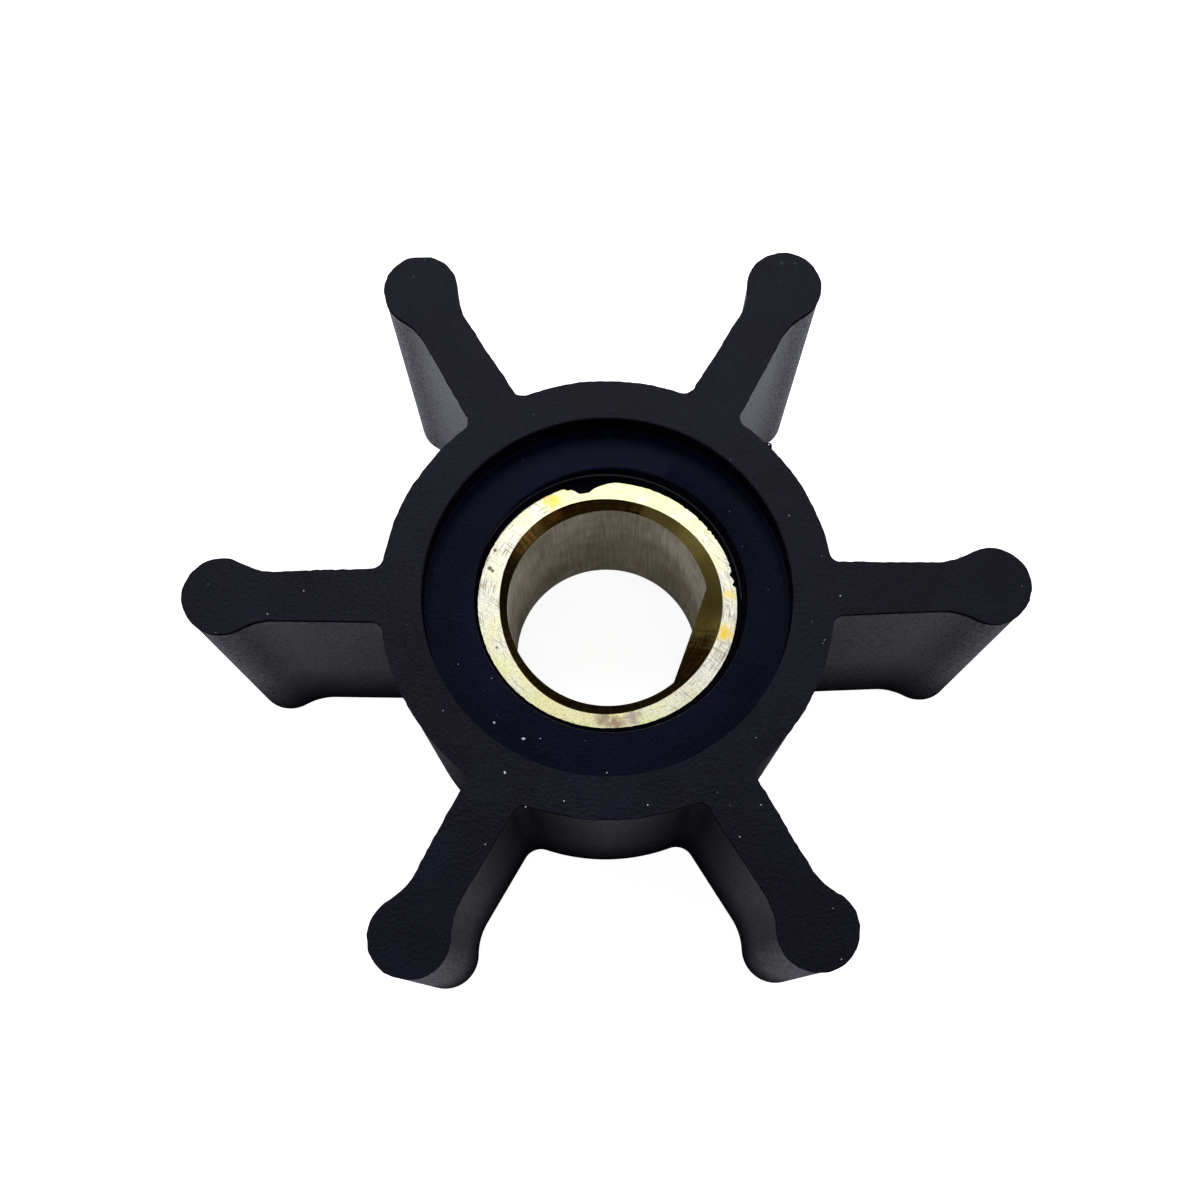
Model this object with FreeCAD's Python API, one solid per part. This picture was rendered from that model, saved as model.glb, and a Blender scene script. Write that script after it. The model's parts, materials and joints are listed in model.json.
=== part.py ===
import FreeCAD, Part
import math
import os

# A flexible vane impeller for a marine cooling pump.
# A black rubber body with six round-tipped vanes is moulded and bonded onto a turned brass insert.
# The insert's bore has one flat, and the pump's shaft drives it there.
#
# All lengths are in millimetres and all angles in degrees.
# The shaft's axis is Z, the lower face lies on Z = 0, and the first vane points along +X.

# Rubber body: the size over the vane tips, the width along the shaft, and the hub
overall_diameter = 50.8
body_width = 22.0
hub_diameter = 27.2

# Vanes: straight and radial, a little thinner at the tip, with a round bulb that seals on the pump's wall
vane_count = 6
vane_root_thickness = 3.3
vane_tip_thickness = 2.86
bulb_diameter = 4.7
neck_radius = 4.15

# Root corners between vane and hub: the mould's corner radius grows from the upper face to the lower
root_radius_top = 0.7
root_radius_bottom = 1.2

# Shallow round recess in the middle of each end face
recess_diameter = 22.2
recess_depth = 1.85

# Brass insert: its upper end lies below the body's upper face
insert_diameter = 16.0
insert_length = 14.0
insert_drop = 2.8

# Bore: round, with one flat along its whole length and a conical countersink at each end
bore_diameter = 12.5
flat_depth = 0.81
flat_direction = -20.4
countersink_width = 0.65

# Rubber around the insert's ends: the hole opens from just inside each end towards the recess
mouth_flare = 0.35
mouth_start = 0.2

# Places that follow from the sizes above
tip_radius = overall_diameter / 2
hub_radius = hub_diameter / 2
recess_radius = recess_diameter / 2
insert_radius = insert_diameter / 2
bore_radius = bore_diameter / 2
bulb_radius = bulb_diameter / 2
bulb_centre = tip_radius - bulb_radius
insert_top = body_width - insert_drop
insert_bottom = insert_top - insert_length

UP = FreeCAD.Vector(0, 0, 1)
ORIGIN = FreeCAD.Vector(0, 0, 0)


def flat_point(x, y):
    """A point of an outline drawn on the body's lower face."""
    return FreeCAD.Vector(x, y, 0)


def mirrored(point):
    """The same point on the other side of the vane."""
    return flat_point(point.x, -point.y)


def on_circle(radius, angle):
    """The point of a circle round the shaft's axis at this angle in radians."""
    return flat_point(radius * math.cos(angle), radius * math.sin(angle))


def short_arc(middle, radius, start, end):
    """The shorter arc from start to end of the circle round this middle."""
    halfway = (start - middle) + (end - middle)
    return Part.Arc(start, middle + halfway.normalize() * radius, end).toShape()


def line(start, end):
    """A straight edge."""
    return Part.LineSegment(start, end).toShape()


def turned(profile):
    """The solid swept by a closed outline of (radius, height) points round the shaft's axis."""
    corners = [FreeCAD.Vector(radius, 0, height) for radius, height in profile]
    outline = Part.makePolygon(corners + corners[:1])
    return Part.Face(outline).revolve(ORIGIN, UP, 360)


def vane_edges(root_radius):
    """One vane along +X and the hub arc up to the next vane, as edges in their order round the outline."""
    root_half = vane_root_thickness / 2
    tip_half = vane_tip_thickness / 2
    lean = math.atan2(tip_half - root_half, bulb_centre - hub_radius)
    along = flat_point(math.cos(lean), math.sin(lean))
    outward = flat_point(-math.sin(lean), math.cos(lean))
    side_end = flat_point(bulb_centre, tip_half)
    bulb_middle = flat_point(bulb_centre, 0)

    # The neck's arc touches the side line and the bulb's circle.
    # Its middle is one neck radius off the line, and the two radii added from the bulb's middle.
    offset = side_end + outward * neck_radius - bulb_middle
    reach = neck_radius + bulb_radius
    half_b = offset.dot(along)
    back = -half_b - math.sqrt(half_b ** 2 - offset.dot(offset) + reach ** 2)
    neck_middle = bulb_middle + offset + along * back
    on_side = side_end + along * back
    on_bulb = bulb_middle + (neck_middle - bulb_middle) * (bulb_radius / reach)

    # The root corner's arc touches the same line and the hub's circle.
    # Its middle is one corner radius off the line, and the two radii added from the shaft's axis.
    corner = side_end + outward * root_radius
    half_b = corner.dot(along)
    forth = -half_b + math.sqrt(half_b ** 2 - corner.dot(corner) + (hub_radius + root_radius) ** 2)
    root_middle = corner + along * forth
    off_side = root_middle - outward * root_radius
    on_hub = root_middle * (hub_radius / root_middle.Length)

    pitch = 2 * math.pi / vane_count
    hub_start = math.atan2(on_hub.y, on_hub.x)
    hub_end = on_circle(hub_radius, pitch - hub_start)
    tip = flat_point(tip_radius, 0)
    return [
        short_arc(mirrored(root_middle), root_radius, mirrored(on_hub), mirrored(off_side)),
        line(mirrored(off_side), mirrored(on_side)),
        short_arc(mirrored(neck_middle), neck_radius, mirrored(on_side), mirrored(on_bulb)),
        Part.Arc(mirrored(on_bulb), tip, on_bulb).toShape(),
        short_arc(neck_middle, neck_radius, on_bulb, on_side),
        line(on_side, off_side),
        short_arc(root_middle, root_radius, off_side, on_hub),
        Part.Arc(on_hub, on_circle(hub_radius, pitch / 2), hub_end).toShape(),
    ]


def outline(root_radius, height):
    """The whole outline of hub and vanes at this height, with this radius in the root corners."""
    edges = []
    for number in range(vane_count):
        for edge in vane_edges(root_radius):
            edge.rotate(ORIGIN, UP, number * 360 / vane_count)
            edge.translate(UP * height)
            edges.append(edge)
    return Part.Wire(edges)


def rubber_body():
    """Hub and vanes as one moulding: straight lines join its lower outline to its upper one."""
    lower = outline(root_radius_bottom, 0)
    upper = outline(root_radius_top, body_width)
    moulding = Part.makeLoft([lower, upper], True, True)

    # The core leaves the recesses and the flared hole for the insert. It stands proud of both end faces.
    proud = recess_depth
    mouth_radius = insert_radius + mouth_flare
    core = turned([
        (0, -proud),
        (recess_radius, -proud),
        (recess_radius, recess_depth),
        (mouth_radius, recess_depth),
        (insert_radius, insert_bottom + mouth_start),
        (insert_radius, insert_top - mouth_start),
        (mouth_radius, body_width - recess_depth),
        (recess_radius, body_width - recess_depth),
        (recess_radius, body_width + proud),
        (0, body_width + proud),
    ])
    return moulding.cut(core).Solids[0]


def brass_insert():
    """A turned sleeve with one flat left standing in its bore, countersunk at both ends."""
    sleeve = Part.makeCylinder(insert_radius, insert_length, flat_point(0, 0) + UP * insert_bottom, UP)

    # The bore's cutter is a round bar with one side milled away, so the flat stays in the sleeve.
    bar = Part.makeCylinder(bore_radius, insert_length, flat_point(0, 0) + UP * insert_bottom, UP)
    milled = Part.makeBox(flat_depth, bore_diameter, insert_length)
    milled.translate(FreeCAD.Vector(bore_radius - flat_depth, -bore_radius, insert_bottom))
    cutter = bar.cut(milled)
    cutter.rotate(ORIGIN, UP, flat_direction)
    sleeve = sleeve.cut(cutter)

    # Each countersink is a cone of 45 degrees, which reaches deeper where it meets the flat.
    mouth = bore_radius + countersink_width
    cone_top = Part.makeCone(0, mouth, mouth, flat_point(0, 0) + UP * (insert_top - mouth), UP)
    cone_bottom = Part.makeCone(mouth, 0, mouth, flat_point(0, 0) + UP * insert_bottom, UP)
    return sleeve.cut([cone_top, cone_bottom]).Solids[0]


os.makedirs("parts", exist_ok=True)
nodes = {"rubber_body": rubber_body(), "brass_insert": brass_insert()}
for name, shape in nodes.items():
    shape.exportStep("parts/" + name + ".step")
    print(name, "valid", shape.isValid(), "volume", round(shape.Volume, 1), "mm3, faces", len(shape.Faces))
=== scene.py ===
# %% [markdown]
# # A rubber pump impeller
#
# This lesson dresses a small marine part: a black rubber hub with six flexible vanes, moulded round a
# brass sleeve. The CAD model fixes every size, so it is loaded first and read as a frame. Everything
# below is modelled in millimetres, because that is how such a part is drawn, and each finished mesh is
# scaled to metres once, in one helper.

# %% Load the frame
import json
import math

import bmesh
import bpy
from mathutils import Matrix, Vector, noise


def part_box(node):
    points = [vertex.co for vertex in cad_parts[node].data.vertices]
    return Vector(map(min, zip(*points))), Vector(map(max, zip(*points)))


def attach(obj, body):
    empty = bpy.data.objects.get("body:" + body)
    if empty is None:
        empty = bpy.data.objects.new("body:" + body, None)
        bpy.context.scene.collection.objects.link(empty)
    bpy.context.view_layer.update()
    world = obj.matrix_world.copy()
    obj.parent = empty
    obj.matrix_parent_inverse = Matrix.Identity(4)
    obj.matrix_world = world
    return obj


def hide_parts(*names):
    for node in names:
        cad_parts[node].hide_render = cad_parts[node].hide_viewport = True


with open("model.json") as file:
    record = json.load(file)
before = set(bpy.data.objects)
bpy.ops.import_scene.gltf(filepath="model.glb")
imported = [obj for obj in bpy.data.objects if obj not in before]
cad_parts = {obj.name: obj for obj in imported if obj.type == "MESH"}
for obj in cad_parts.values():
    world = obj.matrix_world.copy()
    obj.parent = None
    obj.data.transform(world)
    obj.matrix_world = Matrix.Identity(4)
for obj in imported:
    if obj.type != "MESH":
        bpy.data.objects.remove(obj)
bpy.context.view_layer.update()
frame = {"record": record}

MM = 0.001
body_low, body_high = (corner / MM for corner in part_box("rubber_body"))
insert_low, insert_high = (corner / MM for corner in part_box("brass_insert"))
print("body", [round(v, 2) for v in body_low], [round(v, 2) for v in body_high])
print("insert", [round(v, 2) for v in insert_low], [round(v, 2) for v in insert_high])

# %% [markdown]
# ## The sizes that both pieces share
#
# The frame gives the outer sizes. The rest are given here, for the hub, the vanes and the bore.
# Directions are in degrees, counted from one vane, and are turned to radians where an operator needs
# them.

# %% Name the sizes
tip_radius = body_high.x
width = body_high.z
hub_radius = 13.6
vane_count = 6
root_half = 1.65
tip_half = 1.43
bulb_radius = 2.35
neck_radius = 4.15
root_radius_top = 0.7
root_radius_bottom = 1.2
recess_radius = 11.1
recess_depth = 1.85
mouth_flare = 0.35
mouth_start = 0.2

insert_radius = insert_high.x
insert_top = insert_high.z
insert_bottom = insert_low.z
bore_mount = next(m for m in frame["record"]["mounts"] if m["name"] == "shaft_bore")
bore_radius = bore_mount["dims"]["r_mm"]
flat_distance = 5.44
flat_direction = math.radians(-20.4)
countersink = 0.65

# Points nearer than merge_gap are one point, and a measure within close_by of another is the same.
merge_gap = 1e-4
close_by = 1e-3
bulb_centre = Vector((tip_radius - bulb_radius, 0, 0))
sector = math.radians(360 / vane_count)
AXIS = Vector((0, 0, 1))
print("bulb centres on a circle of", round(bulb_centre.x, 2), "mm")

# %% [markdown]
# ## The camera
#
# The photograph looks down on the part from about 74 degrees, close by, so the vanes' sides fan out below
# the top face. A helper could aim the camera with a Track To constraint, but three axes written out are
# clearer: the camera's own right, up and back.

# %% Place the camera
camera_distance = 90.0
camera_azimuth = math.radians(-1.39)
camera_elevation = math.radians(74.2)
camera_roll = math.radians(0.48)
aim_right = -0.43
aim_up = -0.53
sensor = 36.0
focal_length = 45.25

back = Vector((
    math.sin(camera_azimuth) * math.cos(camera_elevation),
    -math.cos(camera_azimuth) * math.cos(camera_elevation),
    math.sin(camera_elevation),
))
level_right = Vector((math.cos(camera_azimuth), math.sin(camera_azimuth), 0))
right = level_right * math.cos(camera_roll) + back.cross(level_right) * math.sin(camera_roll)
up = back.cross(right)
top_middle = Vector((0, 0, width))
aim = top_middle + right * aim_right + up * aim_up

camera_data = bpy.data.cameras.new("camera")
camera_data.sensor_width = sensor
camera_data.lens = focal_length
camera_data.clip_start = 1 * MM
camera = bpy.data.objects.new("camera", camera_data)
camera_turn = Matrix((right, up, back)).transposed().to_4x4()
camera.matrix_world = Matrix.Translation((aim + back * camera_distance) * MM) @ camera_turn
bpy.context.collection.objects.link(camera)
bpy.context.scene.camera = camera
print("camera at", [round(v, 1) for v in aim + back * camera_distance], "mm")

# %% [markdown]
# ## Helpers for colours and nodes
#
# A paint chart gives colours as sRGB hex values, but shaders work in linear light, so one helper turns
# the first into the second. Another adds a shader node with its settings and links in one call, so a
# material reads as a list of steps. A third starts an empty material.

# %% Write the helpers for colours and nodes
def linear(hex_colour):
    """An sRGB hex colour as linear red, green, blue and alpha."""
    parts = [int(hex_colour[i:i + 2], 16) / 255 for i in (1, 3, 5)]
    return [p / 12.92 if p <= 0.04045 else ((p + 0.055) / 1.055) ** 2.4 for p in parts] + [1.0]


def add(tree, kind, inputs=None, **settings):
    """Adds one node. settings are its properties, and inputs maps a socket to a value or to an output."""
    made = tree.nodes.new(kind)
    for name, value in settings.items():
        setattr(made, name, value)
    for socket, value in (inputs or {}).items():
        if isinstance(value, bpy.types.NodeSocket):
            tree.links.new(value, made.inputs[socket])
        else:
            made.inputs[socket].default_value = value
    return made


def new_material(name):
    """An empty material: its tree and its output node."""
    material = bpy.data.materials.new(name)
    material.use_nodes = True
    material.node_tree.nodes.clear()
    return material, material.node_tree, add(material.node_tree, "ShaderNodeOutputMaterial")


print("mid grey #808080 is", round(linear("#808080")[0], 3), "in linear light")

# %% [markdown]
# ## Helpers for patterns
#
# Three patterns come back in several materials: noise that is longer in one direction than in another, as
# tool lines and scratches are, a change from one colour to another, and single spots at chosen places.
# The spots are made ragged by noise, because a stain or a chip never ends in a true circle. One more
# helper measures how far a place is from the shaft's axis.

# %% Write the helpers for patterns
spot_grain = 0.35
spot_raggedness = 2.4
spot_core = 1.6
spot_rim = 2.5


def stretched_noise(tree, place, sizes, detail):
    """Noise whose bumps have these sizes along the three axes of the place it is given."""
    scaled = add(tree, "ShaderNodeMapping", {"Vector": place, "Scale": tuple(1 / size for size in sizes)})
    return add(tree, "ShaderNodeTexNoise", {
        "Vector": scaled.outputs["Vector"], "Scale": 1.0, "Detail": detail,
    }).outputs["Fac"]


def blended(tree, share, low, high, below, above):
    """All of the first colour where share is low or less, and all of the second where it is high or more."""
    factor = add(tree, "ShaderNodeMapRange", {"Value": share, "From Min": low, "From Max": high})
    return add(tree, "ShaderNodeMix", {
        "Factor": factor.outputs[0], "A": below, "B": above,
    }, data_type="RGBA").outputs["Result"]


def marked(tree, place, tone, height, marks):
    """Lays ragged spots over a colour at one height: their direction, distance, half width and colour."""
    for direction, distance, half_width, colour in marks:
        turn = math.radians(direction)
        middle = Vector((distance * math.cos(turn), distance * math.sin(turn), height)) * MM
        away = add(tree, "ShaderNodeVectorMath", {0: place, 1: middle}, operation="DISTANCE")
        tear = add(tree, "ShaderNodeTexNoise", {
            "Vector": place, "Scale": 1 / (spot_grain * MM), "Detail": 4.0,
        })
        rough = add(tree, "ShaderNodeMath", {
            0: tear.outputs["Fac"], 1: spot_raggedness * half_width * MM, 2: away.outputs["Value"],
        }, operation="MULTIPLY_ADD").outputs[0]
        core = spot_core * half_width * MM
        rim = spot_rim * half_width * MM
        tone = blended(tree, rough, core, rim, linear(colour), tone)
    return tone


def off_axis(tree, place):
    """How far a place is from the shaft's axis, in metres."""
    level_place = add(tree, "ShaderNodeVectorMath", {0: place, 1: (1, 1, 0)}, operation="MULTIPLY")
    length = add(tree, "ShaderNodeVectorMath", {0: level_place.outputs[0]}, operation="LENGTH")
    return length.outputs["Value"]


print("a spot of half width 0.5 mm fades over", round((spot_rim - spot_core) * 0.5, 2), "mm")

# %% [markdown]
# ## A helper for finished pieces
#
# A mesh that was drawn in millimetres becomes a piece of the part in one step. It is scaled to metres,
# shaded smooth except at sharp edges, given its materials, and hung on the part's one body.

# %% Write the helper for pieces
smooth_angle = 20.0
round_angle = 60.0


def finished(bm, name, materials, smooth_below=smooth_angle):
    """Scales a mesh to metres and makes it a piece. Edges that turn by fewer degrees are shaded smooth."""
    bmesh.ops.scale(bm, vec=Vector((MM, MM, MM)), verts=bm.verts)
    mesh = bpy.data.meshes.new(name)
    bm.to_mesh(mesh)
    bm.free()
    mesh.shade_smooth()
    mesh.set_sharp_from_angle(angle=math.radians(smooth_below))
    for material in materials:
        mesh.materials.append(material)
    piece = bpy.data.objects.new(name, mesh)
    bpy.context.collection.objects.link(piece)
    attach(piece, "root")
    print(name, len(mesh.vertices), "vertices,", len(mesh.polygons), "faces")
    return piece


# %% [markdown]
# ## Black rubber: its shades and its grain
#
# Neoprene filled with carbon black is a near-black with a little blue. It drifts between two shades, in
# broad blotches and in a fine mottle, and fine dust sticks to it. An image texture could carry all this,
# but noise on object coordinates needs no unwrapping and has its sizes in real millimetres. The real
# grain is about 0.05 mm, too fine to show from here, so it is drawn four times as coarse.

# %% Write the rubber's shades and grain
blotch_size = 5.0
mottle_size = 0.14
mottle_weight = 1.6
darkest_at = 1.0
lightest_at = 1.6
speck_spacing = 0.75
speck_size = 0.035
speck_share = 0.25
speck_colour = "#62646e"
grain_size = 0.20
swell_size = 3.5
swell_depth = 0.06


def rubber_tone(tree, place, dark, light, marks):
    """Black that drifts between two shades, with marks and specks of dust on it."""
    drift = add(tree, "ShaderNodeTexNoise", {
        "Vector": place, "Scale": 1 / (blotch_size * MM), "Detail": 5.0,
    })
    mottle = add(tree, "ShaderNodeTexNoise", {
        "Vector": place, "Scale": 1 / (mottle_size * MM), "Detail": 2.0,
    })
    both = add(tree, "ShaderNodeMath", {
        0: mottle.outputs["Fac"], 1: mottle_weight, 2: drift.outputs["Fac"],
    }, operation="MULTIPLY_ADD").outputs[0]
    tone = blended(tree, both, darkest_at, lightest_at, linear(dark), linear(light))
    tone = marked(tree, place, tone, width, marks)

    cell = add(tree, "ShaderNodeTexVoronoi", {"Vector": place, "Scale": 1 / (speck_spacing * MM)})
    pick = add(tree, "ShaderNodeSeparateColor", {"Color": cell.outputs["Color"]})
    close = add(tree, "ShaderNodeMath", {
        0: cell.outputs["Distance"], 1: speck_size / speck_spacing,
    }, operation="LESS_THAN")
    chosen = add(tree, "ShaderNodeMath", {0: pick.outputs["Red"], 1: speck_share}, operation="LESS_THAN")
    speck = add(tree, "ShaderNodeMath", {0: close.outputs[0], 1: chosen.outputs[0]}, operation="MULTIPLY")
    return blended(tree, speck.outputs[0], 0.0, 1.0, tone, linear(speck_colour))


def rubber_grain(tree, place, grain_depth):
    """The normal of a surface with this depth of fine grain, on a slow swell."""
    fine = add(tree, "ShaderNodeTexNoise", {
        "Vector": place, "Scale": 1 / (grain_size * MM), "Detail": 3.0, "Roughness": 0.6,
    })
    slow = add(tree, "ShaderNodeTexNoise", {"Vector": place, "Scale": 1 / (swell_size * MM), "Detail": 1.0})
    grain = add(tree, "ShaderNodeBump", {"Height": fine.outputs["Fac"], "Distance": grain_depth * MM})
    return add(tree, "ShaderNodeBump", {
        "Height": slow.outputs["Fac"], "Distance": swell_depth * MM, "Normal": grain.outputs["Normal"],
    }).outputs["Normal"]


print("one speck of dust in every", round(speck_spacing ** 3 / speck_share, 2), "mm3 of the pattern")

# %% [markdown]
# ## Black rubber: its skin
#
# A polished mould leaves a fine satin skin on the walls, and seen at a low angle it shines grey with the
# light of the table. Pits break the skin, most of all on the tips. As painted shade, the skin is also taken
# away in the two front root corners and along the foot of the walls, except far behind, where the walls
# would mirror the shadowed table close to the part. Each of these takes away a share, and what is left is
# multiplied. The two front corners are mirror images, so X is folded over and one distance serves both.

# %% Work out how much skin is left
# Painted shade: the skin is taken away at the foot of the walls, except far behind, and round the two front
# root corners.
foot_shade_start = 0.5
foot_shade_end = 9.5
shaded_corner = (5.5, -9.8)
corner_shade_start = 3.2
corner_shade_end = 8.0
pit_size = 0.18
pit_edge = 0.46
pit_middle = 0.62
pits_start = 21.0
pits_end = 23.0
pits_on_hub = 0.6


def pits_left(tree, place, pitted):
    """1 where the skin is whole, and less in the pits. pitted is what the pits take away on the tips."""
    depth = add(tree, "ShaderNodeMapRange", {
        "Value": off_axis(tree, place), "From Min": pits_start * MM, "From Max": pits_end * MM,
        "To Min": pits_on_hub * pitted, "To Max": pitted,
    })
    bumps = add(tree, "ShaderNodeTexNoise", {"Vector": place, "Scale": 1 / (pit_size * MM), "Detail": 3.0})
    pits = add(tree, "ShaderNodeMapRange", {
        "Value": bumps.outputs["Fac"], "From Min": pit_edge, "From Max": pit_middle,
    })
    lost = add(tree, "ShaderNodeMath", {0: pits.outputs[0], 1: depth.outputs[0]}, operation="MULTIPLY")
    return add(tree, "ShaderNodeMath", {0: 1.0, 1: lost.outputs[0]}, operation="SUBTRACT").outputs[0]


def skin_left(tree, place, far, skin, shaded_foot, shaded_corners, pitted):
    """The share of skin on a surface, from what the painted shade at its foot and front corners and its pits
    leave.
    """
    split = add(tree, "ShaderNodeSeparateXYZ", {"Vector": place})
    clear_of_foot_shade = add(tree, "ShaderNodeMapRange", {
        "Value": split.outputs["Z"], "From Min": foot_shade_start * MM, "From Max": foot_shade_end * MM, "To Min": shaded_foot,
    })
    either_side = add(tree, "ShaderNodeMath", {0: split.outputs["X"]}, operation="ABSOLUTE")
    folded = add(tree, "ShaderNodeCombineXYZ", {"X": either_side.outputs[0], "Y": split.outputs["Y"]})
    from_corner = add(tree, "ShaderNodeVectorMath", {
        0: folded.outputs[0], 1: Vector((*shaded_corner, 0)) * MM,
    }, operation="DISTANCE")
    clear_of_corner_shade = add(tree, "ShaderNodeMapRange", {
        "Value": from_corner.outputs["Value"], "From Min": corner_shade_start * MM, "From Max": corner_shade_end * MM,
        "To Min": shaded_corners,
    })
    share = add(tree, "ShaderNodeMath", {0: clear_of_foot_shade.outputs[0], 1: far}, operation="MAXIMUM").outputs[0]
    for factor in (clear_of_corner_shade.outputs[0], pits_left(tree, place, pitted), skin):
        share = add(tree, "ShaderNodeMath", {0: share, 1: factor}, operation="MULTIPLY").outputs[0]
    return share


print("the skin fades in over the lowest", foot_shade_end, "mm of", width, "mm")

# %% [markdown]
# ## Black rubber, in four finishes
#
# As the mould left them, the walls of hub and vanes have the satin skin, with a sheen on the far vanes
# that is partly a pale bloom of dust and partly a painted highlight. The end faces were ground to the right
# width, so they are matt and hardly mirror anything, and one tip has a small chip whose highlights and
# shade are painted on as a few small marks. The floors of the recesses were pressed by a flat pin, and keep
# a deeper blue. Where flash was torn off, the rubber is quite black, and the same black, as partly painted
# shade, covers the lip of flash and the mouth round the brass. The four differ only in shade, gloss and
# skin, so one function mixes them all.

# %% Mix the rubber
rubber_ior = 1.52
far_start = 3.0
far_end = 9.0
far_sheen_roughness = 0.5


def rubber_finish(name, dark, light, roughness, gloss, grain_depth,
                  skin=1.0, shaded_foot=1.0, shaded_corners=1.0, pitted=0.0, far_sheen=0.0, marks=()):
    """A black rubber: the two shades it drifts between, roughness, gloss, and its grain's depth in mm.

    skin is the share of the surface that has a smooth skin, the rest being quite matt. shaded_foot and
    shaded_corners are what painted shade leaves of that share at the foot of a wall and in the two front
    root corners, and pitted is how far the pits take it away. far_sheen is the weight of the sheen on the
    far vanes, partly dust bloom and partly a painted highlight.
    """
    material, tree, output = new_material(name)
    place = add(tree, "ShaderNodeTexCoord").outputs["Object"]
    tone = rubber_tone(tree, place, dark, light, marks)
    normal = rubber_grain(tree, place, grain_depth)
    behind = add(tree, "ShaderNodeSeparateXYZ", {"Vector": place}).outputs["Y"]
    far = add(tree, "ShaderNodeMapRange", {
        "Value": behind, "From Min": far_start * MM, "From Max": far_end * MM,
    }).outputs[0]
    # On the far vanes the satin gets a sheen that is partly dust bloom and partly a painted highlight.
    far_sheen_weight = add(tree, "ShaderNodeMath", {0: far, 1: far_sheen}, operation="MULTIPLY").outputs[0]
    matt = add(tree, "ShaderNodeBsdfDiffuse", {"Color": tone, "Roughness": 1.0, "Normal": normal})
    satin = add(tree, "ShaderNodeBsdfPrincipled", {
        "Base Color": tone, "Roughness": roughness, "IOR": rubber_ior, "Specular IOR Level": gloss,
        "Normal": normal, "Sheen Weight": far_sheen_weight, "Sheen Roughness": far_sheen_roughness,
    })
    share = skin_left(tree, place, far, skin, shaded_foot, shaded_corners, pitted)
    surface = add(tree, "ShaderNodeMixShader", {0: share, 1: matt.outputs[0], 2: satin.outputs[0]})
    tree.links.new(surface.outputs[0], output.inputs["Surface"])
    print(name, len(tree.nodes), "nodes")
    return material


# A small chip on one tip, painted: light marks for its highlights and a dark dot for its shade.
painted_chip_marks = [
    (61.9, 24.42, 0.13, "#303236"), (60.2, 24.81, 0.11, "#3a3c40"),
    (60.6, 24.20, 0.12, "#010102"), (60.3, 24.02, 0.07, "#34363a"),
]
# The moulded walls lose their skin at the foot and in the front root corners as painted shade.
moulded = rubber_finish("moulded neoprene rubber", "#08080e", "#14141d", 0.50, 0.38, 0.045,
                        shaded_foot=0.1, shaded_corners=0.2, pitted=0.6, far_sheen=0.27)
# Torn black: rubber where flash was torn off, also laid on the lip and in the mouth as partly painted shade.
torn_and_shade_black = rubber_finish("torn neoprene rubber", "#030306", "#0a0a10", 0.7, 0.1, 0.045, skin=0.1)
ground = rubber_finish("ground neoprene rubber", "#010106", "#0d0d1e", 0.42, 0.13, 0.045, marks=painted_chip_marks)
pressed = rubber_finish("pressed neoprene rubber", "#010211", "#0a0d24", 0.42, 0.055, 0.03)

# %% [markdown]
# ## Turned brass, and a place measured round the shaft
#
# The sleeve is a pale leaded brass in three finishes: faced on its end faces, countersunk at the edges of
# the bore, and reamed inside. One material with masks could do all three, but three short ones are easier
# to read, and the mesh knows which of its faces is which.
#
# A lathe's marks run round the shaft, so their noise needs a place given as distance, angle and height.
# An angle always jumps somewhere. Here it does so under the broad blob of flash, where it can't be seen.
# A second function puts the surface on each kind of brass.

# %% Measure a place round the shaft, and surface the brass
seam_direction = 102.0


def round_the_shaft(tree, place):
    """A place as distance from the axis, angle and height."""
    turned = add(tree, "ShaderNodeMapping", {
        "Vector": place, "Rotation": (0.0, 0.0, math.radians(180 - seam_direction)),
    })
    split = add(tree, "ShaderNodeSeparateXYZ", {"Vector": turned.outputs["Vector"]})
    angle = add(tree, "ShaderNodeMath", {0: split.outputs["Y"], 1: split.outputs["X"]}, operation="ARCTAN2")
    return add(tree, "ShaderNodeCombineXYZ", {
        "X": off_axis(tree, place), "Y": angle.outputs[0], "Z": split.outputs["Z"],
    }).outputs["Vector"]


def brass_surface(tree, output, tone, metallic, roughness, bump):
    """Ends a brass material with its colour, how metallic and how rough it is, and its bump."""
    surface = add(tree, "ShaderNodeBsdfPrincipled", {
        "Base Color": tone, "Metallic": metallic, "Roughness": roughness, "Normal": bump.outputs["Normal"],
    })
    tree.links.new(surface.outputs["BSDF"], output.inputs["Surface"])
    print("a kind of brass:", len(tree.nodes), "nodes")


print("the angle jumps at", seam_direction, "degrees")

# %% [markdown]
# ### Faced brass
#
# The end faces were faced on a lathe and scratched since, and they throw back the lamp. Fine lines run
# round the shaft, broken into short lengths, and straight scratches cross them. Both are deepest on two
# opposite sides. A few stains are laid on one by one. The real lines are finer than the render can show,
# so they are drawn 0.07 and 0.08 mm wide.

# %% Mix the faced brass
tool_line = (0.07 * MM, 0.17, 1.0)
cross_line = (0.08 * MM, 1.6 * MM, 1.0)
cross_direction = math.radians(-52.0)
patch_size = 1.6 * MM
brass_grain = 0.09 * MM
scuff_weight = 0.16
scuff_turn = -2.15
line_depth = 0.012
line_strength = 0.5
face_stains = [
    (3.6, 7.60, 0.40, "#e6d480"), (345.0, 7.45, 0.62, "#e4ce74"), (344.0, 7.35, 0.25, "#e6c440"),
    (116.8, 7.60, 0.60, "#e2c872"), (114.6, 7.45, 0.30, "#e6c858"), (267.0, 7.15, 0.50, "#a8977a"),
    (273.0, 7.40, 0.45, "#a68c70"), (281.0, 7.25, 0.50, "#b2a494"), (161.8, 7.60, 0.13, "#6a5836"),
    (162.5, 7.40, 0.10, "#6a5836"), (152.5, 7.75, 0.12, "#6a5836"), (201.5, 7.25, 0.10, "#6a5836"),
]


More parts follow.
